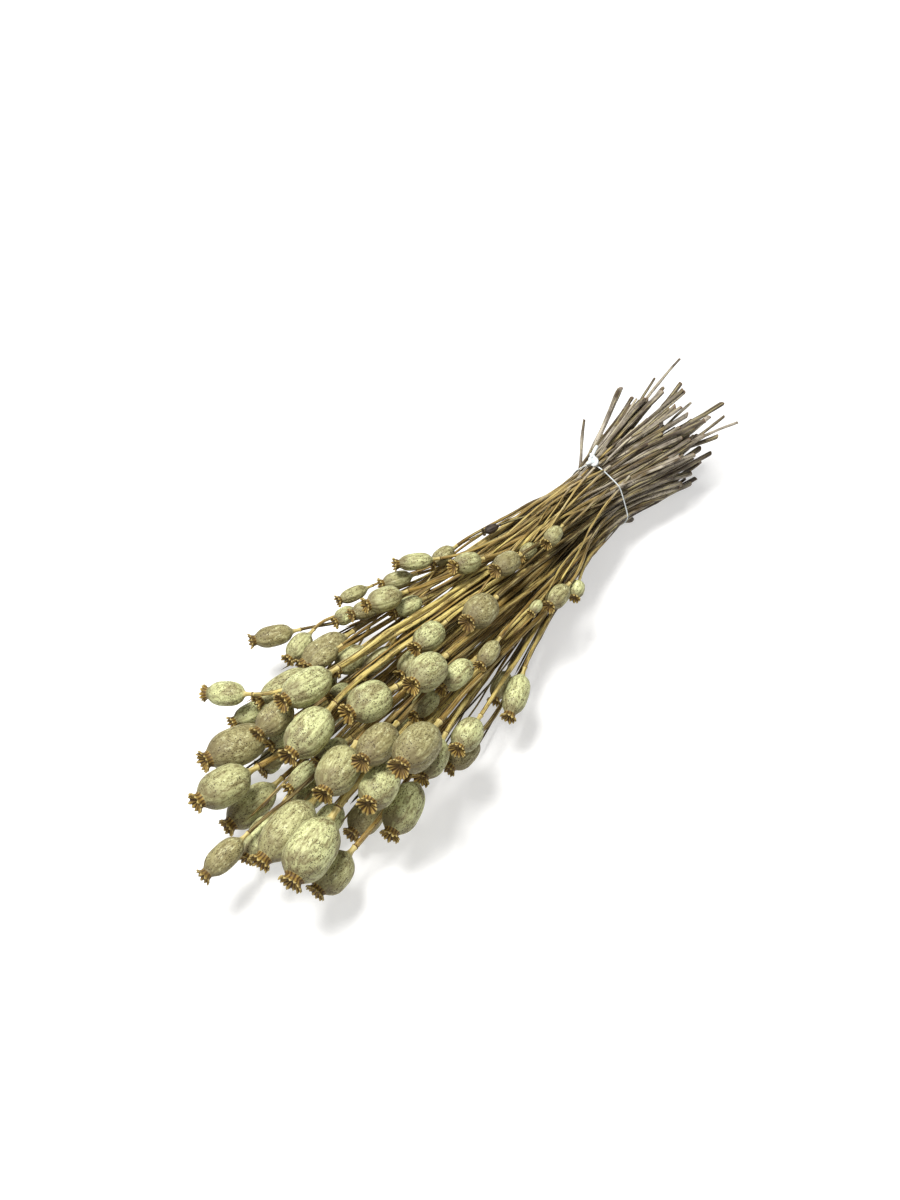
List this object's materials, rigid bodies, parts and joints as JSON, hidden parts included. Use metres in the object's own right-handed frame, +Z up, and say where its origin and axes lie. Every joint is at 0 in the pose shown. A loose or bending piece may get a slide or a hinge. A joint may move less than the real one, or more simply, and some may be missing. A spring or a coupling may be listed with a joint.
{
  "type": "bunch of dried poppy seed heads",
  "caption": "Tied bunch of dried poppy seed heads lying down: ribbed capsules with rayed crowns on long straw stems, held near the cut ends by a thin white elastic band with a knot.",
  "frame": {"origin": "bottom centre of the bunch's box, on the table that it lies on", "axes": "+X from the seed heads to the cut ends, along the bunch; +Z up from the table"},
  "size_m": [0.547, 0.1864, 0.1189],
  "materials": {
    "dry_poppy": "dry matt plant: pale greenish capsules, golden-brown crowns, straw stems",
    "elastic": "matt white rubber thread"
  },
  "bodies": {
    "root": {"poppy_01": "dry_poppy", "poppy_02": "dry_poppy", "poppy_03": "dry_poppy", "poppy_04": "dry_poppy", "poppy_05": "dry_poppy", "poppy_06": "dry_poppy", "poppy_07": "dry_poppy", "poppy_08": "dry_poppy", "poppy_09": "dry_poppy", "poppy_10": "dry_poppy", "poppy_11": "dry_poppy", "poppy_12": "dry_poppy", "poppy_13": "dry_poppy", "poppy_14": "dry_poppy", "poppy_15": "dry_poppy", "poppy_16": "dry_poppy", "poppy_17": "dry_poppy", "poppy_18": "dry_poppy", "poppy_19": "dry_poppy", "poppy_20": "dry_poppy", "poppy_21": "dry_poppy", "poppy_22": "dry_poppy", "poppy_23": "dry_poppy", "poppy_24": "dry_poppy", "poppy_25": "dry_poppy", "poppy_26": "dry_poppy", "poppy_27": "dry_poppy", "poppy_28": "dry_poppy", "poppy_29": "dry_poppy", "poppy_30": "dry_poppy", "poppy_31": "dry_poppy", "poppy_32": "dry_poppy", "poppy_33": "dry_poppy", "poppy_34": "dry_poppy", "poppy_35": "dry_poppy", "poppy_36": "dry_poppy", "poppy_37": "dry_poppy", "poppy_38": "dry_poppy", "poppy_39": "dry_poppy", "poppy_40": "dry_poppy", "poppy_41": "dry_poppy", "poppy_42": "dry_poppy", "poppy_43": "dry_poppy", "poppy_44": "dry_poppy", "poppy_45": "dry_poppy", "poppy_46": "dry_poppy", "poppy_47": "dry_poppy", "poppy_48": "dry_poppy", "poppy_49": "dry_poppy", "poppy_50": "dry_poppy", "poppy_51": "dry_poppy", "poppy_52": "dry_poppy", "poppy_53": "dry_poppy", "poppy_54": "dry_poppy", "poppy_55": "dry_poppy", "poppy_56": "dry_poppy", "poppy_57": "dry_poppy", "poppy_58": "dry_poppy", "poppy_59": "dry_poppy", "elastic_band": "elastic"}
  },
  "joints": []
}
